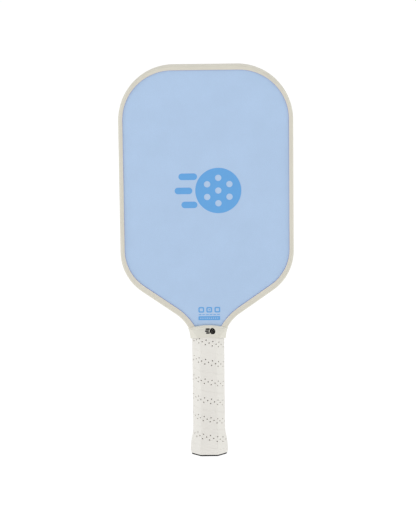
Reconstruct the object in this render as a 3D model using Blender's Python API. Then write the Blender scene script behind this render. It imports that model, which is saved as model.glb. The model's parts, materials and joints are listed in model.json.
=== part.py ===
"""Pickleball paddle, built from its separate pieces.

Frame: +Z runs up the handle to the head, the front face looks along -Y, and the origin is the centre of
the butt cap's flat end. Run it with: blender --background --python part.py
"""

import math
from collections import namedtuple

import bmesh
import bpy

# ---------------------------------------------------------------- driving dimensions, in metres
LENGTH = 0.4191  # 16.5 in, butt end to the top of the edge guard
HEAD_HALF_WIDTH = 0.0916  # over the edge guard
BLANK_THICKNESS = 0.0160  # over both printed films
FIT = 0.0003  # gap between two pieces that touch
LAYER_FIT = 0.0002  # gap between two flat plies that lie on each other
CUT_PAST = 0.03  # how far a cutter reaches past what it cuts

# Plies of the head, each outwards from the core
CORE_HALF = 0.00640
BOND_THICKNESS = 0.00020
FACE_THICKNESS = 0.00060
FILM_THICKNESS = 0.00020

# Edge guard: a U channel whose lips grip the rim
GUARD_WEB = 0.0013
GUARD_LIP = 0.0009
GUARD_ROUND = 0.0020
GUARD_LIP_ROUND = 0.0004
TAPE_THICKNESS = 0.0004
TAPE_HALF_WIDTH = 0.0070

# Handle, over the wrap; the same octagon is stepped in for each layer under it
GRIP_HALF_X = 0.01705
GRIP_HALF_Y = 0.01475
GRIP_BEVEL = 0.0086
WRAP_THICKNESS = 0.0018
WRAP_FIT = 0.00025
WRAP_SQUEEZE = 0.00085  # how much thinner the tape pulls the wrap's top end
HANDLE_TOP = 0.1315  # where the shells stop being straight
NOSE_TOP = 0.1370  # where their tapered noses end, under the collar
TANG_HALF_WIDTH = 0.0095
TANG_SHOULDER_Z = 0.1345
TANG_CHAMFER = (0.0022, 0.0018)  # width and height of the slope from the throat to the tang
TANG_BOTTOM = 0.0032
CAP_TOP = 0.0240
CAP_FLOOR = 0.0028
CAP_WALL_STEP = 0.0010  # how far the shells are stepped in under the cap's skirt
CAP_RIM_HEIGHT = 0.0012
CAP_RIM_STEP = 0.0004  # how far the rim lies inside the wrap
CAP_CHAMFER = 0.0004

# Collar
COLLAR_BOTTOM = 0.1307  # bottom edge, at the middle of each face
COLLAR_CREST = 0.1423  # top edge, at the middle of each face
COLLAR_ARCH_RADIUS = 0.062
COLLAR_BOTTOM_RADIUS = 0.056

CELL_PITCH = 0.0140
CELL_WALL = 0.0006
CORE_RIM = 0.0010

SHOULDER_ANGLE = math.radians(55)

# Right half of a head outline: a flat top, a round corner, a straight side, a round shoulder, a straight
# run at the shoulder angle and a hollow throat.
HeadShape = namedtuple("HeadShape", "half_width top corner shoulder_z shoulder straight throat")
GUARD_OUTSIDE = HeadShape(HEAD_HALF_WIDTH, LENGTH, 0.0585, 0.2216, 0.0520, 0.0429, 0.0430)
GUARD_LIP_EDGE = HeadShape(
    HEAD_HALF_WIDTH - 0.00485, LENGTH - 0.0050, 0.0520, 0.2237, 0.0470, 0.0412, 0.0660
)

# How far the flared butt stands out beyond the straight handle, from the cap's rim up
FLARE = (
    (0.0015, 0.0021),
    (0.0034, 0.0028),
    (0.0060, 0.0029),
    (0.0095, 0.0026),
    (0.0135, 0.0021),
    (0.0180, 0.0013),
    (0.0220, 0.0005),
    (0.0290, 0.0),
)

Octagon = namedtuple("Octagon", "half_x half_y bevel")


# ---------------------------------------------------------------- materials and meshes
def material(name, colour, roughness, metallic=0.0):
    made = bpy.data.materials.new(name)
    made.use_nodes = True
    shader = made.node_tree.nodes["Principled BSDF"]
    shader.inputs["Base Color"].default_value = (*colour, 1.0)
    shader.inputs["Roughness"].default_value = roughness
    shader.inputs["Metallic"].default_value = metallic
    return made


def make_materials():
    return {
        "core": material("core_polypropylene", (0.72, 0.74, 0.74), 0.55),
        "bond": material("bond_film", (0.85, 0.82, 0.66), 0.35),
        "laminate": material("face_laminate", (0.10, 0.11, 0.12), 0.45),
        "film": material("printed_film", (0.45, 0.60, 0.80), 0.42),
        "guard": material("edge_guard_cream", (0.68, 0.64, 0.55), 0.48),
        "tape": material("edge_tape", (0.80, 0.80, 0.76), 0.60),
        "shell": material("handle_shell_grey", (0.30, 0.31, 0.32), 0.60),
        "cap": material("butt_cap_black", (0.03, 0.03, 0.03), 0.40),
        "badge": material("badge_cream", (0.68, 0.64, 0.55), 0.35),
        "steel": material("staple_steel", (0.60, 0.60, 0.60), 0.30, 1.0),
        "wrap": material("grip_wrap_white", (0.78, 0.75, 0.69), 0.70),
        "finish": material("finishing_tape_white", (0.80, 0.79, 0.76), 0.50),
        "collar": material("collar_cream", (0.70, 0.67, 0.60), 0.55),
    }


def place(name, points, faces, finish):
    """A named object of these faces, with their normals outwards."""
    mesh = bpy.data.meshes.new(name)
    mesh.from_pydata(points, [], faces)
    work = bmesh.new()
    work.from_mesh(mesh)
    bmesh.ops.recalc_face_normals(work, faces=work.faces)
    work.to_mesh(mesh)
    work.free()
    if finish:
        mesh.materials.append(finish)
    made = bpy.data.objects.new(name, mesh)
    bpy.context.scene.collection.objects.link(made)
    return made


def shade_round(made):
    made.data.shade_smooth()
    made.data.set_sharp_from_angle(angle=math.radians(35))


def as_helper(made):
    """A cutter or guide, which isn't part of the object."""
    made.hide_render = True
    made.display_type = "WIRE"
    return made


def boolean(made, cutter, operation="DIFFERENCE"):
    modifier = made.modifiers.new(cutter.name, "BOOLEAN")
    modifier.operation = operation
    modifier.solver = "EXACT"
    modifier.object = cutter


def bridge(first, second, count, closed=True):
    """Quads between two rings of count points that start at these indices."""
    spans = count if closed else count - 1
    return [
        (first + i, first + (i + 1) % count, second + (i + 1) % count, second + i)
        for i in range(spans)
    ]


def loft(name, rings, finish):
    """A solid through rings with equal numbers of points, closed by a flat face at each end."""
    count = len(rings[0])
    points = [point for ring in rings for point in ring]
    faces = [tuple(range(count)), tuple(range(len(points) - count, len(points)))]
    for level in range(len(rings) - 1):
        faces += bridge(level * count, (level + 1) * count, count)
    return place(name, points, faces, finish)


def sleeve(name, outside, inside, finish):
    """An open-ended sleeve between a stack of outer rings and a stack of inner rings."""
    count = len(outside[0])
    points = [point for ring in outside + inside for point in ring]
    inner = len(outside) * count
    faces = []
    for level in range(len(outside) - 1):
        faces += bridge(level * count, (level + 1) * count, count)
    for level in range(len(inside) - 1):
        faces += bridge(inner + level * count, inner + (level + 1) * count, count)
    faces += bridge(0, inner, count)
    faces += bridge(inner - count, len(points) - count, count)
    return place(name, points, faces, finish)


def plate(name, outline, y_low, y_high, finish=None):
    """An outline of (x, z) points made into a flat plate between two depths."""
    rings = [[(x, y, z) for x, z in outline] for y in (y_low, y_high)]
    return loft(name, rings, finish)


def block(name, low, high, finish=None):
    outline = [(low[0], low[2]), (high[0], low[2]), (high[0], high[2]), (low[0], high[2])]
    return plate(name, outline, low[1], high[1], finish)


# ---------------------------------------------------------------- outlines
def arc(centre_x, centre_z, radius, start, end, steps):
    """Points on a circle, from the start angle to the end angle in degrees."""
    angles = [math.radians(start + (end - start) * i / steps) for i in range(steps + 1)]
    return [(centre_x + radius * math.cos(a), centre_z + radius * math.sin(a)) for a in angles]


def inset(shape, distance):
    """The outline that lies this far inside another."""
    return shape._replace(
        half_width=shape.half_width - distance,
        top=shape.top - distance,
        corner=shape.corner - distance,
        shoulder=shape.shoulder - distance,
        throat=shape.throat + distance,
    )


def right_half(shape, throat_end):
    """The right half of an outline, down to where the throat is throat_end degrees from vertical."""
    turn = math.degrees(SHOULDER_ANGLE)
    across, down = math.sin(SHOULDER_ANGLE), math.cos(SHOULDER_ANGLE)
    points = arc(shape.half_width - shape.corner, shape.top - shape.corner, shape.corner, 90, 0, 12)
    points += arc(shape.half_width - shape.shoulder, shape.shoulder_z, shape.shoulder, 0, -turn, 9)
    x, z = points[-1]
    x -= shape.straight * across
    z -= shape.straight * down
    centre_x = x + shape.throat * down
    centre_z = z - shape.throat * across
    points += arc(centre_x, centre_z, shape.throat, 180 - turn, 180 - throat_end, 6)
    return points


def mirrored(right):
    """A left half and the right half as one run of points, over the top from the left throat."""
    return [(-x, z) for x, z in reversed(right)] + right


def blank_outline(gap, bottom=TANG_BOTTOM):
    """The outline of the core and its face sheets: the head, and the tang that runs down the handle."""
    right = right_half(inset(GUARD_OUTSIDE, gap), 23)
    right += [
        (TANG_HALF_WIDTH + TANG_CHAMFER[0], TANG_SHOULDER_Z),
        (TANG_HALF_WIDTH, TANG_SHOULDER_Z - TANG_CHAMFER[1]),
        (TANG_HALF_WIDTH, bottom),
    ]
    return mirrored(right)


def film_outline(gap, bottom):
    """The head only, cut off straight where the collar hides it."""
    right = [point for point in right_half(inset(GUARD_OUTSIDE, gap), 23) if point[1] > bottom]
    return mirrored(right + [(right[-1][0] - 0.0026, bottom)])


def octagon(shape, z, face_steps=1, arch=0.0):
    """A ring round the handle. arch > 0 drops it along a circle as it leaves the middle of a face."""
    flat_x = shape.half_x - shape.bevel
    flat_y = shape.half_y - shape.bevel
    face = [(-flat_x + 2 * flat_x * i / face_steps, -shape.half_y) for i in range(face_steps + 1)]
    flank = [(shape.half_x, -flat_y), (shape.half_x, flat_y)]
    ring = face + flank + [(-x, -y) for x, y in face] + [(-x, -y) for x, y in flank]
    return [(x, y, z - x * x * arch / 2) for x, y in ring]


def grown(shape, by):
    """The octagon with each side moved out by this much; its corners move out along their own lines."""
    return Octagon(shape.half_x + by, shape.half_y + by, shape.bevel + by * (2 - math.sqrt(2)))


# ---------------------------------------------------------------- layers worked out from the above
BLANK_GAP = GUARD_WEB + FIT + TAPE_THICKNESS + FIT
BOND_LOW = CORE_HALF + LAYER_FIT
FACE_LOW = BOND_LOW + BOND_THICKNESS + LAYER_FIT
FACE_HIGH = FACE_LOW + FACE_THICKNESS
FILM_LOW = FACE_HIGH + LAYER_FIT
LIP_LOW = BLANK_THICKNESS / 2 + FIT
LIP_HIGH = LIP_LOW + GUARD_LIP
GRIP = Octagon(GRIP_HALF_X, GRIP_HALF_Y, GRIP_BEVEL)
WRAP_BORE = grown(GRIP, -WRAP_THICKNESS)
SHELL = grown(WRAP_BORE, -WRAP_FIT)
SHELL_STEPPED = grown(SHELL, -CAP_WALL_STEP)


# ---------------------------------------------------------------- head
def make_core(finish):
    """A honeycomb panel: hexagonal cells cut through a plate, with a thin rim left round them."""
    core = plate("honeycomb_core", blank_outline(BLANK_GAP), -CORE_HALF, CORE_HALF, finish)
    zone_outline = blank_outline(BLANK_GAP + CORE_RIM, TANG_BOTTOM + CORE_RIM)
    reach = 2 * CORE_HALF
    zone = as_helper(plate("cell_zone", zone_outline, -reach, reach))
    cells = as_helper(make_cells(zone_outline, 1.5 * reach))
    boolean(cells, zone, "INTERSECT")
    boolean(core, cells)
    return core


def inside(outline, x, z):
    """Whether a point lies inside a closed outline."""
    crossings = 0
    for (x0, z0), (x1, z1) in zip(outline, outline[1:] + outline[:1]):
        if (z0 > z) != (z1 > z) and x < x0 + (z - z0) * (x1 - x0) / (z1 - z0):
            crossings += 1
    return crossings % 2 == 1


def make_cells(outline, reach):
    """Hexagonal prisms in staggered rows, wherever a cell's middle and most of it lie in the outline."""
    radius = (CELL_PITCH - CELL_WALL) / math.sqrt(3)
    row_height = CELL_PITCH * math.sqrt(3) / 2
    angles = [math.radians(60 * k) for k in range(6)]
    corners = [(radius * math.sin(a), radius * math.cos(a)) for a in angles]
    rows = int(LENGTH / row_height)
    columns = int(HEAD_HALF_WIDTH / CELL_PITCH) + 1
    points, faces = [], []
    for row in range(rows + 1):
        shift = CELL_PITCH / 2 * (row % 2)
        for column in range(-columns, columns + 1):
            x = column * CELL_PITCH + shift
            z = row * row_height
            if sum(inside(outline, x + 0.7 * cx, z + 0.7 * cz) for cx, cz in corners) < 5:
                continue
            first = len(points)
            for y in (-reach, reach):
                points += [(x + cx, y, z + cz) for cx, cz in corners]
            faces += [tuple(range(first, first + 6)), tuple(range(first + 6, first + 12))]
            faces += bridge(first, first + 6, 6)
    return place("cell_cutters", points, faces, None)


def make_plies(finish):
    """Bond film, face sheet and printed film on each side of the core."""
    blank = blank_outline(BLANK_GAP)
    film = film_outline(BLANK_GAP, NOSE_TOP + 2 * FIT)
    for side, sign in (("front", -1), ("back", 1)):
        for name, outline, low, thickness, slot in (
            ("bond_film", blank, BOND_LOW, BOND_THICKNESS, "bond"),
            ("face_sheet", blank, FACE_LOW, FACE_THICKNESS, "laminate"),
            ("printed_film", film, FILM_LOW, FILM_THICKNESS, "film"),
        ):
            plate(f"{side}_{name}", outline, sign * low, sign * (low + thickness), finish[slot])


def guard_section(outer, lip):
    """The U channel's section at one place on the rim, from its outside point to its lip's edge."""
    reach_x, reach_z = lip[0] - outer[0], lip[1] - outer[1]
    width = math.hypot(reach_x, reach_z)
    corner = GUARD_ROUND * (1 - math.sqrt(0.5))
    half = [
        (0.0, LIP_HIGH - GUARD_ROUND),
        (corner, LIP_HIGH - corner),
        (GUARD_ROUND, LIP_HIGH),
        (width - GUARD_LIP_ROUND, LIP_HIGH),
        (width, LIP_HIGH - GUARD_LIP_ROUND),
        (width, LIP_LOW),
        (GUARD_WEB, LIP_LOW),
    ]
    section = half + [(u, -y) for u, y in reversed(half)]
    return [(outer[0] + reach_x * u / width, y, outer[1] + reach_z * u / width) for u, y in section]


def make_throat_cutter():
    """Everything under the collar's arched top edge, where the guard and its tape are cut off."""
    spread = 3 * GRIP_HALF_X
    steps = 24
    crest = COLLAR_CREST + FIT
    low = COLLAR_BOTTOM - CUT_PAST
    across = [-spread + 2 * spread * i / steps for i in range(steps + 1)]
    arch = [(x, crest - x * x / COLLAR_ARCH_RADIUS / 2) for x in across]
    outline = arch + [(spread, low), (-spread, low)]
    return as_helper(plate("throat_cutter", outline, -CUT_PAST, CUT_PAST))


def make_guard(finish):
    outside = mirrored(right_half(GUARD_OUTSIDE, 22))
    lips = mirrored(right_half(GUARD_LIP_EDGE, 24))
    guard = loft("edge_guard", [guard_section(o, i) for o, i in zip(outside, lips)], finish["guard"])
    outer = mirrored(right_half(inset(GUARD_OUTSIDE, GUARD_WEB + FIT), 22))
    inner = mirrored(right_half(inset(GUARD_OUTSIDE, GUARD_WEB + FIT + TAPE_THICKNESS), 22))
    half = TAPE_HALF_WIDTH
    rings = [[(ox, -half, oz), (ox, half, oz), (ix, half, iz), (ix, -half, iz)]
             for (ox, oz), (ix, iz) in zip(outer, inner)]
    tape = loft("edge_tape", rings, finish["tape"])
    cutter = make_throat_cutter()
    for made in (guard, tape):
        boolean(made, cutter)
    shade_round(guard)


# ---------------------------------------------------------------- handle
def half_octagon(shape, z, sign):
    """The front (-1) or back (+1) half of a ring, stopping at the parting plane between the shells."""
    parting = FIT / 2
    flat_x = shape.half_x - shape.bevel
    flat_y = shape.half_y - shape.bevel
    ring = [(-shape.half_x, parting), (-shape.half_x, flat_y), (-flat_x, shape.half_y)]
    ring += [(-x, y) for x, y in reversed(ring)]
    return [(x, sign * y, z) for x, y in ring]


def make_shells(finish):
    """Two ribbed halves that close round the tang, stepped in at the bottom to take the cap's skirt."""
    nose = Octagon(0.0136, 0.0099, 0.0014)
    levels = (
        (SHELL_STEPPED, CAP_FLOOR + FIT),
        (SHELL_STEPPED, CAP_TOP + FIT),
        (SHELL, CAP_TOP + 2 * FIT),
        (SHELL, HANDLE_TOP),
        (nose, NOSE_TOP),
    )
    slot_depth = FACE_HIGH + FIT
    slot_half = TANG_HALF_WIDTH + FIT
    top = NOSE_TOP + CUT_PAST
    throat_low = HANDLE_TOP + 0.001
    tang_slot = block("tang_slot", (-slot_half, -slot_depth, -CUT_PAST), (slot_half, slot_depth, top))
    throat_slot = block("throat_slot", (-CUT_PAST, -slot_depth, throat_low), (CUT_PAST, slot_depth, top))
    as_helper(tang_slot)
    as_helper(throat_slot)
    pockets = make_rib_pockets(slot_depth)
    shells = {}
    for side, sign in (("front", -1), ("back", 1)):
        rings = [half_octagon(shape, z, sign) for shape, z in levels]
        shell = loft(f"handle_shell_{side}", rings, finish["shell"])
        for cutter in (tang_slot, throat_slot, pockets):
            boolean(shell, cutter)
        shells[side] = shell
    return shells


def make_rib_pockets(slot_depth):
    """Recesses behind the tang that leave cross ribs in both shells."""
    count, first, pitch, rib = 6, 0.0280, 0.0166, 0.0030
    half_x, depth = 0.0075, 0.0030
    reach = slot_depth + depth
    points, faces = [], []
    for k in range(count):
        low, high = first + k * pitch, first + (k + 1) * pitch - rib
        start = len(points)
        for y in (-reach, reach):
            points += [(-half_x, y, low), (half_x, y, low), (half_x, y, high), (-half_x, y, high)]
        faces += [tuple(range(start, start + 4)), tuple(range(start + 4, start + 8))]
        faces += bridge(start, start + 4, 4)
    return as_helper(place("rib_pockets", points, faces, None))


def ellipse_ring(half_x, half_y, z, steps=32):
    angles = [2 * math.pi * k / steps for k in range(steps)]
    return [(half_x * math.cos(a), half_y * math.sin(a), z) for a in angles]


def make_cap(finish):
    """The moulded butt cap: a flared skirt over the shells' ends, with a rim that the wrap stops at."""
    rim = grown(GRIP, FLARE[0][1] - CAP_RIM_STEP)
    outside = [octagon(grown(rim, -CAP_CHAMFER), 0.0)]
    outside += [octagon(rim, CAP_CHAMFER), octagon(rim, CAP_RIM_HEIGHT)]
    outside.append(octagon(grown(SHELL, FLARE[0][1]), CAP_RIM_HEIGHT))
    outside += [octagon(grown(SHELL, flare), z) for z, flare in FLARE[1:] if z < CAP_TOP]
    outside.append(octagon(SHELL, CAP_TOP))
    cap = loft("butt_cap", outside, finish["cap"])
    bore = grown(SHELL_STEPPED, FIT)
    cutter = as_helper(loft("cap_bore", [octagon(bore, CAP_FLOOR), octagon(bore, CAP_TOP + CUT_PAST)], None))
    badge_x, badge_y, recess = 0.0110, 0.0085, 0.0009
    pocket = [ellipse_ring(badge_x + FIT, badge_y + FIT, z) for z in (-CUT_PAST, recess)]
    recess_cutter = as_helper(loft("badge_recess", pocket, None))
    boolean(cap, cutter)
    boolean(cap, recess_cutter)
    badge = [ellipse_ring(badge_x, badge_y, z) for z in (0.0001, recess - FIT)]
    loft("butt_cap_badge", badge, finish["badge"])
    return cap


def staple_shape(name, sign, grow, finish):
    """A flat-wire staple across the parting line: its crown lies along Y and its legs point inwards."""
    height, half_span, wire = 0.0110, 0.0040, 0.0008
    crown = SHELL.half_x + 0.0021
    tip = TANG_HALF_WIDTH + 2 * FIT
    outer_x = crown + (CUT_PAST if grow else 0.0)
    inner_x = crown - wire - grow
    half_wire = wire / 2 + grow
    outer_y = half_span + half_wire
    inner_y = half_span - half_wire
    end_x = tip - grow
    shape = [(outer_x, -outer_y), (outer_x, outer_y), (end_x, outer_y), (end_x, inner_y)]
    shape += [(inner_x, inner_y), (inner_x, -inner_y), (end_x, -inner_y), (end_x, -outer_y)]
    rings = [[(sign * x, y, height + dz) for x, y in shape] for dz in (-half_wire, half_wire)]
    return loft(name, rings, finish)


def make_staples(cap, shells, finish):
    for side, sign in (("left", -1), ("right", 1)):
        staple_shape(f"cap_staple_{side}", sign, 0.0, finish["steel"])
        cutter = as_helper(staple_shape(f"staple_hole_{side}", sign, FIT, None))
        for made in (cap, *shells.values()):
            boolean(made, cutter)


def make_wrap(finish):
    """The cushioned wrap as one sleeve, flared over the cap and squeezed thin under the tape."""
    top = HANDLE_TOP - FIT
    outside = [octagon(grown(GRIP, flare), z) for z, flare in FLARE]
    outside.append(octagon(GRIP, COLLAR_BOTTOM - 0.0006))
    outside.append(octagon(grown(GRIP, -WRAP_SQUEEZE), COLLAR_BOTTOM + 0.0001))
    outside.append(octagon(grown(GRIP, -1.4 * WRAP_SQUEEZE), top))
    inside = [octagon(grown(WRAP_BORE, flare), z) for z, flare in FLARE]
    inside.append(octagon(WRAP_BORE, top))
    sleeve("grip_wrap", outside, inside, finish["wrap"])


def make_finishing_tape(finish):
    bound = grown(GRIP, LAYER_FIT + 0.00005 - WRAP_SQUEEZE)
    upper = Octagon(0.0161, 0.0124, 0.0060)
    thickness = 0.0002
    levels = (
        (bound, COLLAR_BOTTOM + 0.0002),
        (grown(bound, -0.0002), HANDLE_TOP - FIT),
        (upper, HANDLE_TOP + 0.0020),
    )
    inside = [octagon(shape, z) for shape, z in levels]
    outside = [octagon(grown(shape, thickness), z) for shape, z in levels]
    sleeve("finishing_tape", outside, inside, finish["finish"])


def make_collar(finish):
    """The elastic collar: octagonal over the wrap, flattening to grip the throat, its top arched."""
    steps = 8
    top_arch = 1 / COLLAR_ARCH_RADIUS
    bottom_arch = 1 / COLLAR_BOTTOM_RADIUS
    waist = COLLAR_BOTTOM + 0.0019
    outside = [
        octagon(Octagon(0.01890, 0.0158, 0.0084), COLLAR_BOTTOM, steps, bottom_arch),
        octagon(Octagon(0.01900, 0.0151, 0.0064), waist, steps, bottom_arch),
        octagon(Octagon(0.01960, 0.0131, 0.0042), waist + 0.0040, steps, top_arch),
        octagon(Octagon(0.02085, 0.0100, 0.0026), COLLAR_CREST, steps, top_arch),
    ]
    inside = [
        octagon(grown(GRIP, 0.0003), COLLAR_BOTTOM, steps, bottom_arch),
        octagon(Octagon(0.0174, 0.0140, 0.0078), waist, steps, bottom_arch),
        octagon(Octagon(0.0194, LIP_LOW, 0.0004), COLLAR_CREST, steps, top_arch),
    ]
    sleeve("collar", outside, inside, finish["collar"])


# ---------------------------------------------------------------- the paddle
def main():
    for old in list(bpy.data.objects):
        bpy.data.objects.remove(old)
    finish = make_materials()
    make_core(finish["core"])
    make_plies(finish)
    make_guard(finish)
    shells = make_shells(finish)
    cap = make_cap(finish)
    make_staples(cap, shells, finish)
    make_wrap(finish)
    make_finishing_tape(finish)
    make_collar(finish)


main()
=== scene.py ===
"""Looks for the pickleball paddle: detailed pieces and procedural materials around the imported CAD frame."""

import json
import math
from collections import namedtuple

import bmesh
import bpy
import numpy as np
from mathutils import Matrix, Vector


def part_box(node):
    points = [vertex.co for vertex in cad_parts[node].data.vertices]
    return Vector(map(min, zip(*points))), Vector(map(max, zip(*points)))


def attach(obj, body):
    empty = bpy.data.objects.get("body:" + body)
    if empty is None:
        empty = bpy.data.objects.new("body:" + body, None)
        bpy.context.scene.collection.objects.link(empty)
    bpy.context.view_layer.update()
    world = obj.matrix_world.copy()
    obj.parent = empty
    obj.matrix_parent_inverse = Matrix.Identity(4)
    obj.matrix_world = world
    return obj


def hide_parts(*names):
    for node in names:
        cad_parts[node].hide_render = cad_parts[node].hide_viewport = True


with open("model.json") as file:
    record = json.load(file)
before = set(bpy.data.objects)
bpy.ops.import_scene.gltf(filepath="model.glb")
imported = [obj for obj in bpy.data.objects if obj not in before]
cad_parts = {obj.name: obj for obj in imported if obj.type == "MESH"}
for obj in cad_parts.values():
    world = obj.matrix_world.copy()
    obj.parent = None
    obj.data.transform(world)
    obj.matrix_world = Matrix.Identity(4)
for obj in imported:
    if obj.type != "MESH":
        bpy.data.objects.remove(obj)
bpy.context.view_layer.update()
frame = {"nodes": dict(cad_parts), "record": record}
NODES = frame["nodes"]
BODY = "root"

# ---------------------------------------------------------------- dimensions, in metres
GUARD_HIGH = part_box("edge_guard")[1]
COLLAR_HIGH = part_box("collar")[1]
WRAP_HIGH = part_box("grip_wrap")[1]
BADGE_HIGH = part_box("butt_cap_badge")[1]
FACE_Y = -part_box("front_printed_film")[0].y  # how far the playing surface is from the middle

# A head's outline: half its width, its top, the radius of its top corners, the height where the shoulders
# start to turn in and the radius they turn with, the straight run under them, and the hollow throat's radius
HeadShape = namedtuple("HeadShape", "half_width top corner shoulder_z shoulder straight throat")
GUARD_OUTSIDE = HeadShape(GUARD_HIGH.x, GUARD_HIGH.z, 0.0585, 0.2216, 0.0520, 0.0429, 0.0430)
GUARD_LIP_EDGE = HeadShape(
    GUARD_HIGH.x - 0.00485, GUARD_HIGH.z - 0.0050, 0.0520, 0.2237, 0.0470, 0.0412, 0.0660
)
SHOULDER_TURN = 55  # degrees that each side turns in by at its shoulder
OUTSIDE_THROAT_END = 22  # degrees from upright where each throat arc ends, under the collar
LIP_THROAT_END = 24

COLLAR_BOTTOM = 0.1307  # its bottom edge at the middle of each face; the edge is a little lower at the sides
COLLAR_CREST = COLLAR_HIGH.z + 0.0003  # the rolled bead stands a little above the plain solid
COLLAR_ARCH_RADIUS = 0.062
COLLAR_BOTTOM_RADIUS = 0.056

SIDES = ((-1, "front"), (1, "back"))  # which way each face looks along y, and its word in the pieces' names

Octagon = namedtuple("Octagon", "half_x half_y bevel")
GRIP = Octagon(0.01705, 0.01475, 0.0086)
GRIP_CORNER = 0.0024
CAP_RIM = 0.0017  # height of the rim that the wrap's lower end stands on
FLARE = (  # heights, and how far the grip's sides stand out there towards the butt
    (0.0, 0.0008), (0.0012, 0.0016), (0.0022, 0.0023), (0.0038, 0.0028), (0.0060, 0.0029), (0.0095, 0.0026),
    (0.0135, 0.0021), (0.0180, 0.00125), (0.0220, 0.0005), (0.0255, 0.0001), (0.0290, 0.0),
)


# ---------------------------------------------------------------- materials
class Nodes:
    """A material's node tree, built up call by call."""

    def __init__(self, name, colour, roughness, metallic=0.0, specular=0.5):
        self.material = bpy.data.materials.new(name)
        self.material.use_nodes = True
        self.tree = self.material.node_tree
        self.shader = self.tree.nodes["Principled BSDF"]
        self.shader.inputs["Base Color"].default_value = (*colour, 1.0)
        self.shader.inputs["Roughness"].default_value = roughness
        self.shader.inputs["Metallic"].default_value = metallic
        self.shader.inputs["Specular IOR Level"].default_value = specular
        self.where = self.add("ShaderNodeTexCoord").outputs["Object"]
        self.normal = None

    def add(self, kind, **values):
        node = self.tree.nodes.new(kind)
        for key, value in values.items():
            setattr(node, key, value)
        return node

    def link(self, source, target):
        self.tree.links.new(source, target)

    def noise(self, scale, detail=2.0, roughness=0.5, stretch=(1, 1, 1)):
        """Fractal noise from 0 to 1, with this many cells to the metre."""
        mapping = self.add("ShaderNodeMapping")
        mapping.inputs["Scale"].default_value = stretch
        self.link(self.where, mapping.inputs["Vector"])
        node = self.add("ShaderNodeTexNoise")
        node.inputs["Scale"].default_value = scale
        node.inputs["Detail"].default_value = detail
        node.inputs["Roughness"].default_value = roughness
        self.link(mapping.outputs["Vector"], node.inputs["Vector"])
        return node.outputs["Fac"]

    def voronoi(self, scale, feature="F1"):
        """Distance to the nearest of scattered points, with this many of them to the metre."""
        node = self.add("ShaderNodeTexVoronoi", feature=feature)
        node.inputs["Scale"].default_value = scale
        self.link(self.where, node.inputs["Vector"])
        return node.outputs["Distance"]

    def ramp(self, source, low, high, from_low=0.0, from_high=1.0):
        """A number from low to high as the source goes over its range."""
        node = self.add("ShaderNodeMapRange")
        node.inputs["From Min"].default_value = from_low
        node.inputs["From Max"].default_value = from_high
        node.inputs["To Min"].default_value = low
        node.inputs["To Max"].default_value = high
        self.link(source, node.inputs["Value"])
        return node.outputs["Result"]

    def mix(self, source, first, second):
        """A colour between two, by the source."""
        node = self.add("ShaderNodeMix", data_type="RGBA")
        self.link(source, node.inputs["Factor"])
        for index, colour in ((6, first), (7, second)):  # these sockets share their names
            if isinstance(colour, tuple):
                node.inputs[index].default_value = (*colour, 1.0)
            else:
                self.link(colour, node.inputs[index])
        return node.outputs[2]

    def bump(self, height, distance, strength=1.0):
        """Adds relief of this depth in metres over what there is already."""
        node = self.add("ShaderNodeBump")
        node.inputs["Distance"].default_value = distance
        node.inputs["Strength"].default_value = strength
        self.link(height, node.inputs["Height"])
        if self.normal:
            self.link(self.normal, node.inputs["Normal"])
        self.normal = node.outputs["Normal"]
        self.link(self.normal, self.shader.inputs["Normal"])

    def colour(self, source):
        self.link(source, self.shader.inputs["Base Color"])

    def roughness(self, source):
        self.link(source, self.shader.inputs["Roughness"])

    def set(self, **values):
        for key, value in values.items():
            self.shader.inputs[key.replace("_", " ")].default_value = value


def shade(colour, by):
    return tuple(min(1.0, c * by) for c in colour)


def srgb(*screen):
    """Linear values of a colour given as 0 to 255 on screen."""
    shares = [value / 255 for value in screen]
    return tuple(s / 12.92 if s <= 0.04045 else ((s + 0.055) / 1.055) ** 2.4 for s in shares)


def gritty(name, colour, spread=0.03):
    """Printed film with a fine sprayed grit: speckled relief with mottled colour."""
    n = Nodes(name, colour, 0.55, specular=0.35)
    grain = n.noise(2600, 3, 0.65)
    cloud = n.noise(38, 3, 0.55)
    mottled = n.mix(n.ramp(cloud, 0, 1, 0.35, 0.65), shade(colour, 1 - spread), shade(colour, 1 + spread))
    speckle = n.ramp(grain, 0.0, 1.0, 0.30, 0.72)
    n.colour(n.mix(speckle, shade(colour, 1 - 3.4 * spread), mottled))
    n.roughness(n.ramp(grain, 0.46, 0.66, 0.3, 0.7))
    n.bump(grain, 0.00016, 0.8)
    n.bump(n.voronoi(900), 0.00008, 0.5)
    return n.material


def moulded(name, colour, roughness=0.42, grain=0.00003, specular=0.45):
    """Satin moulded plastic: a fine spark-eroded grain, slow colour drift and faint rub marks."""
    n = Nodes(name, colour, roughness, specular=specular)
    drift = n.noise(22, 3, 0.5)
    n.colour(n.mix(n.ramp(drift, 0, 1, 0.3, 0.7), shade(colour, 0.965), shade(colour, 1.02)))
    fine = n.noise(1900, 3, 0.6)
    rub = n.noise(300, 4, 0.6, (1, 1, 0.12))
    n.roughness(n.ramp(rub, roughness - 0.07, roughness + 0.10, 0.35, 0.7))
    n.bump(fine, grain, 0.8)
    n.bump(n.noise(90, 2), 0.00005, 0.25)
    return n.material


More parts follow.
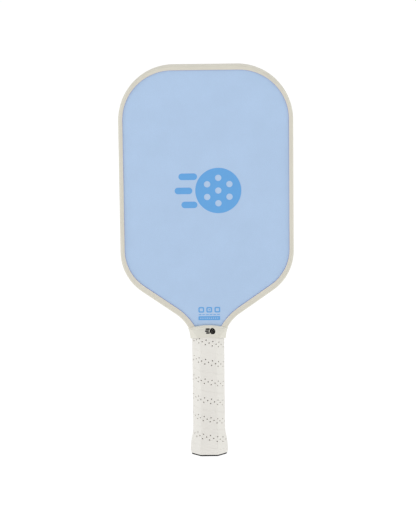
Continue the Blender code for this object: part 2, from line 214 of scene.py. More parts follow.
def cushion(name, colour):
    """Soft tacky foam skin: pebbled fine grain, low sheen and slow colour drift."""
    n = Nodes(name, colour, 0.62, specular=0.3)
    drift = n.noise(30, 3, 0.5)
    n.colour(n.mix(n.ramp(drift, 0, 1, 0.3, 0.7), shade(colour, 0.975), shade(colour, 1.015)))
    pebble = n.voronoi(1500, "SMOOTH_F1")
    fine = n.noise(3200, 2, 0.5)
    n.roughness(n.ramp(pebble, 0.55, 0.72, 0.1, 0.6))
    n.bump(pebble, 0.00012, 0.8)
    n.bump(fine, 0.00005, 0.6)
    n.bump(n.noise(110, 3), 0.00012, 0.35)
    n.set(Sheen_Weight=0.12, Sheen_Roughness=0.5)
    return n.material


def felt(name, colour):
    """The fibrous layer seen down the perforations: partly its own dark colour, partly painted shade for the
    depth of the holes.
    """
    n = Nodes(name, colour, 0.95, specular=0.1)
    fuzz = n.noise(4200, 4, 0.7)
    n.colour(n.mix(n.ramp(fuzz, 0, 1, 0.3, 0.7), shade(colour, 0.7), shade(colour, 1.25)))
    n.bump(fuzz, 0.00008, 0.8)
    return n.material


def elastic(name, colour):
    """Smooth rubber with a matte bloom."""
    n = Nodes(name, colour, 0.50, specular=0.4)
    drift = n.noise(60, 3, 0.55)
    n.colour(n.mix(n.ramp(drift, 0, 1, 0.3, 0.7), shade(colour, 0.97), shade(colour, 1.02)))
    n.roughness(n.ramp(n.noise(700, 3, 0.6), 0.44, 0.60, 0.3, 0.7))
    n.bump(n.noise(2400, 2, 0.5), 0.00006, 0.7)
    n.bump(n.noise(180, 2), 0.00004, 0.25)
    return n.material


def plain(name, colour, roughness, metallic=0.0, scale=800):
    """Hidden pieces: fine grain and a little colour drift."""
    n = Nodes(name, colour, roughness, metallic)
    drift = n.noise(scale, 3, 0.6)
    n.colour(n.mix(n.ramp(drift, 0, 1, 0.3, 0.7), shade(colour, 0.92), shade(colour, 1.05)))
    n.roughness(n.ramp(drift, roughness - 0.05, roughness + 0.08, 0.3, 0.7))
    n.bump(drift, 0.00003, 0.4)
    return n.material


def woven(name, colour):
    """Plain-weave fibre cloth in resin, for the laminate's edges."""
    n = Nodes(name, colour, 0.4)
    weave = n.add("ShaderNodeTexChecker")
    weave.inputs["Scale"].default_value = 500
    weave.inputs["Color1"].default_value = (*shade(colour, 0.8), 1)
    weave.inputs["Color2"].default_value = (*shade(colour, 1.3), 1)
    n.link(n.where, weave.inputs["Vector"])
    n.colour(weave.outputs["Color"])
    n.bump(weave.outputs["Fac"], 0.00004, 0.5)
    return n.material


BLUE = srgb(180, 205, 236)
PRINT_BLUE = srgb(101, 167, 227)
# painted shade: slate blue for the thin shadow line where the guard's lip meets the face
KEYLINE_BLUE = srgb(114, 126, 214)
CREAM = srgb(214, 210, 197)
COLLAR_CREAM = srgb(221, 218, 207)
WRAP_WHITE = srgb(230, 227, 221)
BLACK = srgb(16, 15, 14)

MATERIALS = {
    "film": gritty("face_print_pale_blue", BLUE),
    "print": gritty("face_print_mid_blue", PRINT_BLUE, 0.02),
    # painted shade along the guard's lip, given the same grit as the printed film
    "lip_shadow_line": gritty("face_painted_lip_shadow", KEYLINE_BLUE, 0.02),
    "guard": moulded("edge_guard_cream", CREAM, 0.55, 0.00009, 0.30),
    "collar": elastic("collar_cream", COLLAR_CREAM),
    "collar_print": moulded("collar_print_black", BLACK, 0.65, 0.00002, 0.12),
    "wrap": cushion("grip_wrap_white", WRAP_WHITE),
    # the holes' lowest walls and floors: partly the underlayer's own colour, partly painted shade deep in the
    # perforations
    "backing_and_hole_shade": felt("grip_wrap_backing_and_hole_shade", srgb(96, 88, 80)),
    "cap": moulded("butt_cap_black", BLACK, 0.60, 0.00005, 0.2),
    "badge": moulded("badge_cream", CREAM, 0.25),
    "core": plain("core_polypropylene", (0.72, 0.74, 0.74), 0.5),
    "bond": plain("bond_film", (0.85, 0.82, 0.66), 0.35),
    "laminate": woven("face_laminate", (0.10, 0.11, 0.12)),
    "tape": plain("edge_tape", (0.80, 0.80, 0.76), 0.6),
    "shell": plain("handle_shell_grey", (0.30, 0.31, 0.32), 0.6),
    "steel": plain("staple_steel", (0.60, 0.60, 0.60), 0.3, 1.0),
    "finish": plain("finishing_tape_white", (0.80, 0.79, 0.76), 0.5),
}


# ---------------------------------------------------------------- mesh helpers
def place(name, mesh):
    made = bpy.data.objects.new(name, mesh)
    bpy.context.scene.collection.objects.link(made)
    return made


def mesh_piece(name, points, faces, materials, slots=None, sharp=40):
    """A smooth-shaded object whose edges past this angle stay sharp."""
    mesh = bpy.data.meshes.new(name)
    mesh.from_pydata([tuple(p) for p in points], [], faces)
    for key in materials:
        mesh.materials.append(MATERIALS[key])
    if slots is not None:
        mesh.polygons.foreach_set("material_index", slots)
    work = bmesh.new()
    work.from_mesh(mesh)
    bmesh.ops.recalc_face_normals(work, faces=work.faces)
    work.to_mesh(mesh)
    work.free()
    mesh.shade_smooth()
    mesh.set_sharp_from_angle(angle=math.radians(sharp))
    return place(name, mesh)


def bridge(first, second, count):
    """Quads between two closed rings of count points that start at these indices."""
    return [(first + i, first + (i + 1) % count, second + (i + 1) % count, second + i) for i in range(count)]


def loft(name, rings, materials, closed_path=False, sharp=40):
    """A solid through rings with equal numbers of points."""
    count = len(rings[0])
    points = [p for ring in rings for p in ring]
    faces = []
    for level in range(len(rings) - (0 if closed_path else 1)):
        faces += bridge(level * count, (level + 1) % len(rings) * count, count)
    if not closed_path:
        faces += [tuple(range(count)), tuple(range(len(points) - count, len(points)))]
    return mesh_piece(name, points, faces, materials, sharp=sharp)


def trim(made, point, normal, near=None):
    """Cuts away what is on the normal's side, of all faces or those whose middle is near, and closes the cut."""
    work = bmesh.new()
    work.from_mesh(made.data)
    faces = [face for face in work.faces if near is None or near(face.calc_center_median())]
    verts = dict.fromkeys(vert for face in faces for vert in face.verts)
    edges = dict.fromkeys(edge for face in faces for edge in face.edges)
    cut = bmesh.ops.bisect_plane(
        work, geom=[*verts, *edges, *faces], dist=1e-7, plane_co=point, plane_no=normal, clear_outer=True
    )["geom_cut"]
    open_edges = [g for g in cut if isinstance(g, bmesh.types.BMEdge) and g.is_boundary]
    bmesh.ops.triangle_fill(work, use_beauty=True, edges=open_edges)
    bmesh.ops.recalc_face_normals(work, faces=work.faces)
    work.to_mesh(made.data)
    work.free()


def finish_piece(made, nodes):
    if nodes:
        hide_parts(*nodes)
    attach(made, BODY)
    return made


# ---------------------------------------------------------------- outlines
def arc(centre_x, centre_z, radius, start, end, steps):
    """Points on an arc from one angle to another, in degrees."""
    angles = [math.radians(start + (end - start) * i / steps) for i in range(steps + 1)]
    return [(centre_x + radius * math.cos(a), centre_z + radius * math.sin(a)) for a in angles]


def between(first, second, steps):
    """Points inside a straight run, without its ends."""
    return [
        (first[0] + (second[0] - first[0]) * i / steps, first[1] + (second[1] - first[1]) * i / steps)
        for i in range(1, steps)
    ]


def half_outline(shape, throat_end):
    """The right half of a head's outline, from the middle of the top down to the throat."""
    top_steps, side_steps, straight_steps = 10, 30, 12
    corner_steps, shoulder_steps, throat_steps = 36, 22, 16
    across, down = math.sin(math.radians(SHOULDER_TURN)), math.cos(math.radians(SHOULDER_TURN))
    middle = (0.0, shape.top)
    corner_x, corner_z = shape.half_width - shape.corner, shape.top - shape.corner
    corner = arc(corner_x, corner_z, shape.corner, 90, 0, corner_steps)
    shoulder_x = shape.half_width - shape.shoulder
    shoulder = arc(shoulder_x, shape.shoulder_z, shape.shoulder, 0, -SHOULDER_TURN, shoulder_steps)
    x = shoulder[-1][0] - shape.straight * across
    z = shoulder[-1][1] - shape.straight * down
    throat_x, throat_z = x + shape.throat * down, z - shape.throat * across
    throat = arc(throat_x, throat_z, shape.throat, 180 - SHOULDER_TURN, 180 - throat_end, throat_steps)
    points = [middle, *between(middle, corner[0], top_steps), *corner]
    points += [*between(corner[-1], shoulder[0], side_steps), *shoulder]
    points += [*between(shoulder[-1], throat[0], straight_steps), *throat]
    return points


def outline(shape, throat_end):
    """Both halves, from the left throat over the top to the right throat."""
    right = half_outline(shape, throat_end)
    return [(-x, z) for x, z in reversed(right[1:])] + right


def sag(x, radius):
    """How far a shallow arc of this radius drops, this far from its middle."""
    return x * x / radius / 2


# ---------------------------------------------------------------- edge guard
GUARD_WEB = 0.0013  # thickness of the channel's web
GUARD_LIP = 0.0009  # thickness of its lips
GUARD_ROUND = 0.0024  # radius of its two outside corners
GUARD_FILLET = 0.0003  # slope between the web and the lips, inside
GUARD_CROWN = 0.00021  # how far the web bulges
LIP_TAPER = 0.0020  # how far from its inner edge a lip starts to taper
LIP_UNDERSIDE = 0.0016  # how far from that edge its inside is flat again
LIP_NOSE = (  # the lip's tapered edge: distances along it and down from its flat, round its nose and under
    (0.0, 0.0), (0.0005, 0.00002), (0.0010, 0.00006), (0.0014, 0.00011), (0.0017, 0.00019),
    (0.0019, 0.00032), (0.0020, 0.00052), (0.0020, 0.00074), (0.0019, 0.00092), (0.0016, 0.00098),
)
GUARD_END_X = (0.0142, 0.0212)  # the stretch across which each end is cut to follow the collar's arch
GUARD_END_DEPTH = 0.0010  # how far under the collar's top edge the ends go
BELOW_HEAD = 0.16  # the ends are lower than this, and the rest of the guard is higher


def guard_section(width):
    """The channel's section: (distance in from the rim, depth), all the way round."""
    half = GUARD_HIGH.y
    web_half = half - GUARD_ROUND
    inside = half - GUARD_LIP
    flat_start, flat_end = GUARD_CROWN + GUARD_ROUND, width - LIP_TAPER
    section = [(GUARD_CROWN * (i / 8) ** 2, web_half * i / 8) for i in range(9)]
    for i in range(1, 7):
        a = math.radians(90 * i / 6)
        section.append((GUARD_CROWN + GUARD_ROUND * (1 - math.cos(a)), web_half + GUARD_ROUND * math.sin(a)))
    section.append(((flat_start + flat_end) / 2, half))
    section += [(flat_end + along, half - drop) for along, drop in LIP_NOSE]
    section += [(width - LIP_UNDERSIDE, inside), (GUARD_WEB + GUARD_FILLET, inside)]
    section.append((GUARD_WEB, inside - GUARD_FILLET))
    return section + [(u, -y) for u, y in reversed(section) if y > 1e-9]


def make_guard():
    rings = []
    lips = outline(GUARD_LIP_EDGE, LIP_THROAT_END)
    for rim, lip in zip(outline(GUARD_OUTSIDE, OUTSIDE_THROAT_END), lips):
        reach = Vector((lip[0] - rim[0], lip[1] - rim[1]))
        width = reach.length
        step = reach / width
        rings.append([(rim[0] + step.x * u, y, rim[1] + step.y * u) for u, y in guard_section(width)])
    guard = loft("edge_guard_moulded", rings, ["guard"], sharp=50)
    inner, outer = GUARD_END_X
    high, low = (COLLAR_CREST - GUARD_END_DEPTH - sag(x, COLLAR_ARCH_RADIUS) for x in GUARD_END_X)
    for side in (-1, 1):
        normal = Vector((side * (low - high), 0, -(outer - inner))).normalized()
        corner = Vector((side * inner, 0, high))
        trim(guard, corner, normal, near=lambda at: side * at.x > 0 and at.z < BELOW_HEAD)
    finish_piece(guard, ["edge_guard"])


# ---------------------------------------------------------------- octagonal rings
def octagon_lengths(shape, radius):
    """Lengths of the eight flats and eight corner arcs, in turn from the front face's left end."""
    cut = radius * math.tan(math.pi / 8)
    flat_x = 2 * (shape.half_x - shape.bevel)
    flat_y = 2 * (shape.half_y - shape.bevel)
    slant = shape.bevel * math.sqrt(2)
    lengths = []
    for flat in [flat_x, slant, flat_y, slant] * 2:
        lengths += [flat - 2 * cut, radius * math.pi / 4]
    return np.array(lengths)


def octagon_at(shape, radius, along, grow):
    """Points on a rounded octagon, at these distances round it before each side is moved out by grow."""
    base = octagon_lengths(shape, radius)
    ends = np.concatenate([[0], np.cumsum(base)])
    along = np.mod(along, ends[-1])
    part = np.clip(np.searchsorted(ends, along, side="right") - 1, 0, len(base) - 1)
    share = (along - ends[part]) / base[part]
    bevel = shape.bevel + grow * (2 - math.sqrt(2))
    half_x, half_y = shape.half_x + grow, shape.half_y + grow
    flat_x, flat_y = half_x - bevel, half_y - bevel
    sharp = [
        (-flat_x, -half_y), (flat_x, -half_y), (half_x, -flat_y), (half_x, flat_y),
        (flat_x, half_y), (-flat_x, half_y), (-half_x, flat_y), (-half_x, -flat_y),
    ]
    cut = radius * math.tan(math.pi / 8)
    x = np.zeros_like(along)
    y = np.zeros_like(along)
    for side, (start_x, start_y) in enumerate(sharp):
        end_x, end_y = sharp[(side + 1) % 8]
        heading = -math.pi / 2 + side * math.pi / 4
        out_x, out_y = math.cos(heading), math.sin(heading)
        first_x, first_y = start_x - cut * out_y, start_y + cut * out_x
        last_x, last_y = end_x + cut * out_y, end_y - cut * out_x
        on_flat = part == 2 * side
        x = np.where(on_flat, first_x + (last_x - first_x) * share, x)
        y = np.where(on_flat, first_y + (last_y - first_y) * share, y)
        on_arc = part == 2 * side + 1
        angle = heading + share * math.pi / 4
        x = np.where(on_arc, last_x - radius * out_x + radius * np.cos(angle), x)
        y = np.where(on_arc, last_y - radius * out_y + radius * np.sin(angle), y)
    return x, y


def octagon_points(shape, radius, grow=0.0, per_flat=6, per_arc=5):
    """Evenly parted points round a rounded octagon, as arrays of x and y, and always the same number."""
    along, start = [], 0.0
    for index, length in enumerate(octagon_lengths(shape, radius)):
        steps = per_arc if index % 2 else per_flat
        along += [start + length * i / steps for i in range(steps)]
        start += length
    return octagon_at(shape, radius, np.array(along), grow)


# ---------------------------------------------------------------- smooth tables
def smoothed(values, passes):
    """The same values with their corners rounded off and both ends kept."""
    for _ in range(passes):
        values[1:-1] = (values[:-2] + 2 * values[1:-1] + values[2:]) / 4
    return values


def flare(z):
    """How far the grip's sides stand out at this height, smoothly."""
    fine = np.linspace(0, 0.034, 137)
    return np.interp(z, fine, smoothed(np.interp(fine, *zip(*FLARE)), 10))


# ---------------------------------------------------------------- grip wrap
PITCH = 0.0207  # rise of the strip in one turn
WRAP_THICKNESS = 0.0016
SEAM = 0.000004  # half the gap between one turn and the next
WOUND_TO = 0.140  # the strip is wound past both ends of the wrap, and then trimmed
WINDING = (  # the winding isn't quite even: heights, and how much higher its rows lie there
    (0.0, 0.0), (0.0240, 0.0004), (0.0445, -0.0008), (0.0650, -0.00075), (0.0860, -0.0007), (0.1060, 0.0003),
    (0.1265, 0.0008),
)
WRAP_MARGIN = (  # the strip's plain margin, rolled down at its edge: distances from the edge, and depths
    (0.0, 0.00016), (0.00014, 0.00006), (0.0004, 0.00002), (0.0012, 0.0), (0.0026, 0.0), (0.0040, 0.0),
    (0.0052, 0.0),
)

HOLE_ROWS = 3
ROW_GAP = 0.0024
HOLES_PER_TURN = 14
HOLE_DRIFT = 0.00079  # how much less than a turn 14 holes take
FIRST_HOLE = (-0.0023, 0.12655)  # where the front face has a hole of the uppermost row
LOWEST_HOLE = 0.0135
HALF_SPAN = 3  # columns of the strip's grid from a hole's middle to the edge of its cells
SPAN = 2 * HALF_SPAN
RING = 16  # points round a hole
# Each perforation: two rings that lead in to it, a dished rim, a short wall and a dark floor, partly painted
# shade, as the share of the way from its cells' edge to the ring, the ring's radius, its depth and its material
HOLE_RINGS = (
    (0.38, 0.00102, 0.0, 0), (0.74, 0.00102, 0.0, 0), (1.0, 0.00102, 0.00003, 0), (1.0, 0.00084, 0.00010, 0),
    (1.0, 0.00071, 0.00026, 0), (1.0, 0.00065, 0.00055, 0), (1.0, 0.00062, 0.00082, 0),
    # material 1 on the lowest wall and the floor: the dark underlayer colour, partly painted shade
    (1.0, 0.00054, 0.00090, 1),
)


def winding(z):
    """How much higher the winding lies at this height than an even one, as a smooth curve."""
    fine = np.linspace(-0.02, 0.18, 401)
    return np.interp(z, fine, smoothed(np.interp(fine, *zip(*WINDING)), 60))


def perforate(points, faces, slots, cells, column):
    """Adds a perforation inside the ring of points round its cells, given by their indices."""
    edge = [points[i] for i in cells]
    centre_u = edge[0][0] + HALF_SPAN * column
    centre_v = edge[0][1] - ROW_GAP / 2
    start = math.atan2(1.9 * ROW_GAP / 2, -HALF_SPAN * column)  # near the cells' first corner, but drawn in
    angles = [start - k * 2 * math.pi / RING for k in range(RING)]
    previous = cells
    for share, radius, drop, slot in HOLE_RINGS:
        current = list(range(len(points), len(points) + RING))
        for (u, v, _), a in zip(edge, angles):
            across = centre_u + radius * math.cos(a) - u
            up = centre_v + radius * math.sin(a) - v
            points.append((u + across * share, v + up * share, drop))
        for k in range(RING):
            following = (k + 1) % RING
            faces.append((previous[k], previous[following], current[following], current[k]))
            slots.append(slot)
        previous = current
    # the floor, in the dark underlayer colour that is partly painted shade
    faces.append(tuple(previous))
    slots.append(1)


def make_wrap():
    """One perforated strip, laid out flat by distances along it, up it and into it, and then wound."""
    lengths = octagon_lengths(GRIP, GRIP_CORNER)
    perimeter = lengths.sum()
    tilt = math.atan2(PITCH, perimeter)
    cos_t, sin_t = math.cos(tilt), math.sin(tilt)
    turn = perimeter / cos_t
    column = (turn - HOLE_DRIFT) / HOLES_PER_TURN / SPAN
    half = PITCH * cos_t / 2 - SEAM

    # where the strip's own axes start, from the place of the first hole
    front_left = -lengths[0] / 2
    origin_a = FIRST_HOLE[0] - front_left - ROW_GAP * sin_t - HALF_SPAN * column * cos_t
    origin_z = FIRST_HOLE[1] - ROW_GAP * cos_t + HALF_SPAN * column * sin_t

    # the strip's section: its outside from the upper edge to the lower, and its back
    margin = [(half - inset, depth) for inset, depth in WRAP_MARGIN]
    cell_rows = [((HOLE_ROWS - i) * ROW_GAP / 2, 0.0) for i in range(2 * HOLE_ROWS + 1)]
    section = margin + cell_rows + [(-v, depth) for v, depth in reversed(margin)]
    section += [(v, WRAP_THICKNESS) for v in (-half, 0.0, half)]
    count = len(section)
    before = math.ceil((WOUND_TO - origin_z + PITCH) / PITCH * turn / column)
    before += -before % SPAN
    columns = before + math.ceil((origin_z + PITCH) / PITCH * turn / column)
    points = [((i - before) * column, v, depth) for i in range(columns) for v, depth in section]

    def index(i, j):
        return i * count + j

    cells = set()
    holes = []
    for row in range(HOLE_ROWS):
        top = len(margin) + 2 * row
        for start in range(HALF_SPAN * (row % 2), columns - SPAN, SPAN):  # the middle row is staggered
            centre_u = (start - before + HALF_SPAN) * column
            if origin_z - centre_u * sin_t + section[top + 1][0] * cos_t < LOWEST_HOLE:
                continue
            cells |= {(start + i, top + j) for i in range(SPAN) for j in range(2)}
            end, low = start + SPAN, top + 2
            upper = [(start + i, top) for i in range(SPAN)] + [(end, top), (end, top + 1)]
            lower = [(end - i, low) for i in range(SPAN)] + [(start, low), (start, low - 1)]
            holes.append([index(i, j) for i, j in upper + lower])

    faces = []
    for i in range(columns - 1):
        for j in range(count):
            following = (j + 1) % count
            if (i, j) not in cells:
                faces.append((index(i, j), index(i + 1, j), index(i + 1, following), index(i, following)))
    faces += [tuple(index(i, j) for j in range(count)) for i in (0, columns - 1)]
    slots = [0] * len(faces)
    for hole in holes:
        perforate(points, faces, slots, hole, column)

    u, v, depth = np.array(points).T
    a = origin_a + u * cos_t + v * sin_t
    z = origin_z - u * sin_t + v * cos_t
    z = z + winding(z)
    # the foam's slow unevenness, as waves in radians to the metre
    ripple = 0.00006 * np.sin(a * 410 + z * 130) * np.sin(z * 330 - a * 90 + 1.3)
    ripple += 0.00004 * np.sin(a * 900 - z * 600 + 0.4)
    grow = flare(z) - depth + np.where(depth < WRAP_THICKNESS, ripple, 0.0)
    x, y = octagon_at(GRIP, GRIP_CORNER, a, grow)
    wound = np.column_stack([x, y, z])
    # the second material darkens the holes' lowest walls and floors, partly as painted shade
    wrap = mesh_piece("grip_wrap_strip", wound, faces, ["wrap", "backing_and_hole_shade"], slots, sharp=60)
    trim(wrap, (0, 0, WRAP_HIGH.z), (0, 0, 1))
    trim(wrap, (0, 0, CAP_RIM + 0.0001), (0, 0, -1))
    finish_piece(wrap, ["grip_wrap"])


# ---------------------------------------------------------------- collar
COLLAR_CORNER = 0.0032
COLLAR_SHAPE = (  # share of the height, half width, half depth, bevel
    (0.0, 0.01890, 0.01580, 0.0084),
    (0.1, 0.01893, 0.01555, 0.0074),
    (0.25, 0.01903, 0.01490, 0.0060),
    (0.4, 0.01925, 0.01420, 0.0050),
    (0.6, 0.01968, 0.01300, 0.0040),
    (0.8, 0.02030, 0.01150, 0.0033),
    (0.92, 0.02062, 0.01075, 0.0030),
    (1.0, 0.02085, 0.00980, 0.0027),
)
COLLAR_RELIEF = (  # the bead round the top edge, with a groove under it, and the rounded bottom edge
    (0.0, -0.00045), (0.008, -0.0002), (0.025, -0.00003), (0.05, 0.0), (0.12, 0.0), (0.2, 0.0), (0.3, 0.0),
    (0.4, 0.0), (0.5, 0.0), (0.6, 0.0), (0.7, 0.0), (0.78, 0.0), (0.81, -0.00006), (0.832, -0.0002),
    (0.85, -0.00025), (0.866, -0.00015), (0.88, 0.0001), (0.9, 0.0003), (0.925, 0.00035), (0.955, 0.00025),
    (0.98, 0.00005), (0.993, -0.00015), (1.0, -0.0004),
)
COLLAR_WALL = 0.0011
COLLAR_INSIDE = (  # the inside, from the top edge down
    (1.0, -0.0008), (0.985, -COLLAR_WALL), (0.85, -COLLAR_WALL), (0.5, -COLLAR_WALL), (0.06, -COLLAR_WALL),
    (0.0, -0.0009),
)
MARK_X, MARK_HEIGHT_SHARE, MARK_WIDTH = 0.0022, 0.53, 0.0110
MARK_LIFT = 0.00003  # off the collar's flat, so that the mark never sinks into it


def collar_octagon(share):
    """The collar's size at this share of its height."""
    shares, *sizes = zip(*COLLAR_SHAPE)
    return Octagon(*(np.interp(share, shares, size) for size in sizes))


def collar_z(share, x):
    """The height at this share of the way from the bottom edge to the arched top one, x from the middle."""
    low = COLLAR_BOTTOM - sag(x, COLLAR_BOTTOM_RADIUS)
    high = COLLAR_CREST - sag(x, COLLAR_ARCH_RADIUS)
    return low + (high - low) * share


def collar_ring(share, grow):
    x, y = octagon_points(collar_octagon(share), COLLAR_CORNER, grow, 8, 6)
    return list(zip(x, y, collar_z(share, x)))


def make_collar():
    rings = [collar_ring(share, grow) for share, grow in COLLAR_RELIEF + COLLAR_INSIDE]
    collar = loft("collar_sleeve", rings, ["collar"], closed_path=True, sharp=60)
    finish_piece(collar, ["collar"])


def make_collar_marks():
    """The emblem again, small and black, wrapped on to the collar's front and back."""
    for side, word in SIDES:
        for k, loops in enumerate(emblem(MARK_X, 0.0, MARK_WIDTH, 0.275, 0.06, 0.5)):
            mark = print_patch(f"collar_mark_{word}_{k}", loops, "collar_print", side, 0.0)
            for vert in mark.data.vertices:
                x, out, up = vert.co.x, abs(vert.co.y), vert.co.z
                share = MARK_HEIGHT_SHARE + up / (COLLAR_CREST - COLLAR_BOTTOM)
                vert.co = (x, side * (collar_octagon(share).half_y + MARK_LIFT + out), collar_z(share, x))


# ---------------------------------------------------------------- butt cap
CAP_EDGE = (  # the flat end's rounded edge, from underneath: distances out of the grip's octagon, and heights
    (-0.0030, 0.0), (0.0007, 0.0), (0.0012, 0.00012), (0.0016, 0.00045), (0.0018, 0.0009), (0.0018, CAP_RIM),
)
SKIRT = Octagon(GRIP.half_x - 0.0018, GRIP.half_y - 0.0018, GRIP.bevel - 0.00105)
SKIRT_CORNER = 0.0018
SKIRT_Z = (CAP_RIM + 0.00005, 0.004, 0.008, 0.013, 0.018, 0.0238)
SKIRT_TOP = 0.0240
SKIRT_GAP = 0.0002  # between the skirt and the wrap
POCKET_GAP = 0.0003  # between the badge and the hollow it sits in
POCKET = ((-0.0004, 0.0009), (0.0, 0.0008), (0.0, 0.0003), (0.0003, 0.0), (0.0012, 0.0))  # as in CAP_EDGE
BADGE_EDGE = ((0.0, BADGE_HIGH.z), (0.0, 0.00035), (-0.0002, 0.00018), (-0.0010, 0.00006), (-0.0035, 0.0))


def oval(half_x, half_y, z, angles):
    return [(half_x * math.cos(a), half_y * math.sin(a), z) for a in angles]


def make_cap():
    """The cap's flat end with its rolled rim and the badge's pocket, and the skirt up inside the wrap."""
    levels = [(GRIP, GRIP_CORNER, grow, z) for grow, z in CAP_EDGE]
    levels += [(SKIRT, SKIRT_CORNER, float(flare(max(z, 0.002))) - SKIRT_GAP, z) for z in SKIRT_Z]
    levels += [(SKIRT, SKIRT_CORNER, grow, SKIRT_TOP) for grow in (-0.0008, -0.0014)]
    rings = [[(x, y, z) for x, y in zip(*octagon_points(*at))] for *at, z in levels]
    half_x, half_y = BADGE_HIGH.x + POCKET_GAP, BADGE_HIGH.y + POCKET_GAP
    angles = [math.atan2(y / half_y, x / half_x) for x, y, _ in rings[0]]
    pocket = [oval(half_x + grow, half_y + grow, z, angles) for grow, z in POCKET]
    cap = loft("butt_cap_moulding", pocket + rings, ["cap"], sharp=50)
    finish_piece(cap, ["butt_cap"])


def make_badge():
    angles = np.linspace(0, 2 * math.pi, 64, endpoint=False)
    rings = [oval(BADGE_HIGH.x + grow, BADGE_HIGH.y + grow, z, angles) for grow, z in BADGE_EDGE]
    badge = loft("butt_cap_badge_domed", rings, ["badge"], sharp=50)
    finish_piece(badge, ["butt_cap_badge"])


# ---------------------------------------------------------------- prints, and the painted shadow line at the guard's lip
PRINT_THICKNESS = 0.00006
PRINT_SURFACE = FACE_Y + 0.00001
EMBLEM_X, EMBLEM_Z, EMBLEM_WIDTH = 0.0016, 0.2870, 0.070
BALL_HOLES_AT = 0.56  # where the outer holes are, as a share of the ball's radius
TRAIL_GAP = 0.045  # between the ball and its bars, as a share of the emblem's width
TRAIL = ((0.62, 0.06), (0.0, 0.0), (-0.62, 0.10))  # each bar's height and where it starts, as shares
BLOCK_Z, BLOCK_X = 0.1589, (-0.0069, 0.0015, 0.0101)
DASH_Z, DASH_X = 0.1537, np.linspace(-0.0098, 0.0097, 6)
LABEL_Z, LABEL_X = 0.1498, 0.00145
LABEL_SLOT_X = np.linspace(-0.0075, 0.0104, 9)
# the painted shadow line at the guard's lip: how far it reaches under the lip and out beside it
KEYLINE_UNDER, KEYLINE_BESIDE = 0.0004, 0.0003  # how far it goes under the guard's lip, and shows beside it
KEYLINE_LOWEST = COLLAR_CREST - 0.0035


def capsule(left, right, z, height, steps=14):
    """A bar with round ends, as an outline of (x, z) points."""
    r = height / 2
    return arc(right - r, z, r, -90, 90, steps) + arc(left + r, z, r, 90, 270, steps)


def box(x, z, width, height, corner, steps=5):
    """A rectangle with rounded corners."""
    reach_x, reach_z = width / 2 - corner, height / 2 - corner
    points = []
    for turn, (sx, sz) in zip((0, 90, 180, 270), ((1, 1), (-1, 1), (-1, -1), (1, -1))):
        points += arc(x + sx * reach_x, z + sz * reach_z, corner, turn, turn + 90, steps)
    return points


def circle(x, z, radius, steps):
    return arc(x, z, radius, 0, 360, steps)[:-1]


def print_patch(name, loops, material, side, surface=PRINT_SURFACE):
    """A layer of ink with a little thickness, bounded by flat loops; one inside another makes a hole. The
    painted shadow line at the guard's lip is made the same way.
    """
    work = bmesh.new()
    for loop in loops:
        verts = [work.verts.new((x, 0, z)) for x, z in loop]
        for i in range(len(verts)):
            work.edges.new((verts[i], verts[(i + 1) % len(verts)]))
    bmesh.ops.triangle_fill(work, use_beauty=True, edges=work.edges[:])
    extruded = bmesh.ops.extrude_face_region(work, geom=work.faces[:])["geom"]
    for vert in (g for g in extruded if isinstance(g, bmesh.types.BMVert)):
        vert.co.y = PRINT_THICKNESS
    for vert in work.verts:
        vert.co.y = side * (surface + vert.co.y)
        vert.co.x *= -side
    bmesh.ops.recalc_face_normals(work, faces=work.faces)
    mesh = bpy.data.meshes.new(name)
    work.to_mesh(mesh)
    work.free()
    mesh.materials.append(MATERIALS[material])
    return finish_piece(place(name, mesh), [])


def emblem(centre_x, centre_z, width, ball_share=0.345, hole=0.14, bar=0.29):
    """A holed ball and three bars behind it, each as its loops. hole and bar are shares of the ball."""
    ball = ball_share * width
    x = centre_x + width / 2 - ball
    loops = [circle(x, centre_z, ball, 72), circle(x, centre_z, hole * ball, 24)]
    for k in range(6):
        a = math.radians(60 * k + 30)
        out = BALL_HOLES_AT * ball
        loops.append(circle(x + out * math.cos(a), centre_z + out * math.sin(a), hole * ball, 24))
    left = centre_x - width / 2
    bars = []
    for up, start in TRAIL:
        reach = ball * math.sqrt(1 - up * up) + TRAIL_GAP * width
        bars.append([capsule(left + start * width, x - reach, centre_z + up * ball, bar * ball)])
    return [loops, *bars]


def make_keyline(side, word):
    """A thin dark line of painted shade round the playing surface, half under the guard's lip, standing for the
    shadow where the lip meets the face.
    """
    lip = [Vector(point) for point in outline(GUARD_LIP_EDGE, LIP_THROAT_END) if point[1] > KEYLINE_LOWEST]
    outer, inner = [], []
    for before, here, after in zip(lip[:1] + lip, lip, lip[1:] + lip[-1:]):
        along = (after - before).normalized()
        inward = Vector((along.y, -along.x))
        outer.append(here - inward * KEYLINE_UNDER)
        inner.append(here + inward * KEYLINE_BESIDE)
    loop = [tuple(point) for point in outer + inner[::-1]]
    print_patch(f"painted_lip_shadow_{word}", [loop], "lip_shadow_line", side)


def make_prints():
    for side, word in SIDES:
        # painted shade: the dark line where the guard's lip meets the face
        make_keyline(side, word)
        patches = {}
        ball, *bars = emblem(EMBLEM_X, EMBLEM_Z, EMBLEM_WIDTH)
        patches[f"print_ball_{word}"] = ball
        for k, bar in enumerate(bars):
            patches[f"print_bar_{word}_{k}"] = bar
        for k, x in enumerate(BLOCK_X):
            block, hollow = box(x, BLOCK_Z, 0.0061, 0.0060, 0.0014), box(x, BLOCK_Z, 0.0034, 0.0033, 0.0006)
            patches[f"print_block_{word}_{k}"] = [block, hollow]
        patches[f"print_block_{word}_1"].append(circle(BLOCK_X[1], BLOCK_Z, 0.0007, 16))
        for k, x in enumerate(DASH_X):
            patches[f"print_dash_{word}_{k}"] = [capsule(x, x + 0.0030, DASH_Z, 0.0007)]
        label = box(LABEL_X, LABEL_Z, 0.0229, 0.0042, 0.0005)
        slots = [box(x, LABEL_Z, 0.0012, 0.0012, 0.0002) for x in LABEL_SLOT_X]
        patches[f"print_label_{word}"] = [label, *slots]
        for name, loops in patches.items():
            print_patch(name, loops, "print", side)


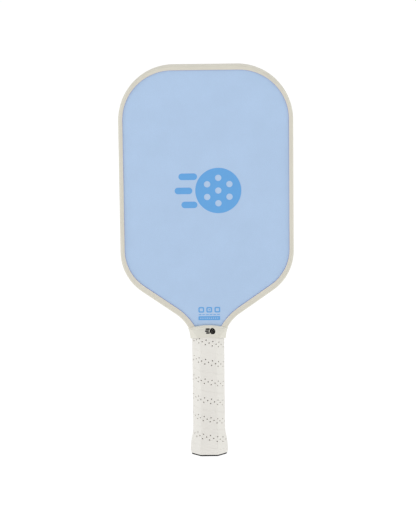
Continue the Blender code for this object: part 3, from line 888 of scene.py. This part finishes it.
# ---------------------------------------------------------------- camera, floor and light
TARGET = Vector((0.0008, 0.0, 0.2111))
ELEVATION, ROLL = math.radians(11.5), math.radians(-0.66)
DISTANCE = 2.539
FLOOR_REACH = 30.0
FLOOR_GLOW = 0.96
WORLD_LIGHT = 0.50
LIT_PLACE = (0, 0, 0.25)
LIGHTS = (  # name, place, size, power, colour
    ("front", (0.0, -2.2, 1.6), (1.8, 1.2), 5.8, (1.0, 0.89, 0.86)),
    ("side_left", (-2.2, -0.6, 0.8), (1.0, 1.6), 15.5, (0.92, 0.98, 1.0)),
    ("side_right", (2.2, -0.6, 0.8), (1.0, 1.6), 13.0, (0.93, 1.0, 0.98)),
    ("top", (0.0, -0.5, 2.6), (1.8, 1.2), 11.3, (1, 1, 1)),
    ("back", (0.3, 2.1, 1.9), (1.8, 1.2), 12, (1, 1, 1)),
)


def make_camera():
    camera = place("camera", bpy.data.cameras.new("camera"))
    camera.data.lens = 166.0
    camera.data.sensor_width = 36.0
    camera.location = TARGET + Vector((0, -DISTANCE * math.cos(ELEVATION), DISTANCE * math.sin(ELEVATION)))
    look = (TARGET - camera.location).to_track_quat("-Z", "Y").to_matrix().to_4x4()
    camera.matrix_world = Matrix.Translation(camera.location) @ look @ Matrix.Rotation(ROLL, 4, "Z")
    bpy.context.scene.camera = camera


def make_floor():
    mesh = bpy.data.meshes.new("floor")
    corners = [(FLOOR_REACH * x, FLOOR_REACH * y, 0) for x, y in ((-1, -1), (1, -1), (1, 1), (-1, 1))]
    mesh.from_pydata(corners, [], [(0, 1, 2, 3)])
    floor = place("floor", mesh)
    n = Nodes("floor_white", (0.12, 0.12, 0.12), 0.9, specular=0.0)
    n.roughness(n.ramp(n.noise(6), 0.85, 0.95))
    n.set(Emission_Color=(1, 1, 1, 1), Emission_Strength=FLOOR_GLOW)
    mesh.materials.append(n.material)


def make_light():
    world = bpy.data.worlds.new("studio")
    bpy.context.scene.world = world
    world.use_nodes = True
    world.node_tree.nodes["Background"].inputs["Color"].default_value = (1, 1, 1, 1)
    world.node_tree.nodes["Background"].inputs["Strength"].default_value = WORLD_LIGHT
    for name, location, size, power, colour in LIGHTS:
        light = bpy.data.lights.new(name, "AREA")
        light.shape = "RECTANGLE"
        light.size, light.size_y = size
        light.energy = power
        light.color = colour
        lamp = place(name, light)
        lamp.location = location
        lamp.rotation_euler = (Vector(LIT_PLACE) - lamp.location).to_track_quat("-Z", "Y").to_euler()
    bpy.context.scene.view_settings.view_transform = "Standard"


# ---------------------------------------------------------------- everything
def dress_cad():
    """Every CAD node that still shows gets the procedural material of its slot."""
    slots = {entry["node"]: entry["material_slot"] for entry in frame["record"]["subparts"]}
    for name, node in NODES.items():
        finish = MATERIALS[slots[name]]
        if node.data.materials:
            for i in range(len(node.data.materials)):
                node.data.materials[i] = finish
        else:
            node.data.materials.append(finish)


def main():
    make_camera()
    make_floor()
    make_light()
    dress_cad()
    make_guard()
    make_wrap()
    make_collar()
    make_collar_marks()
    make_cap()
    make_badge()
    make_prints()


main()
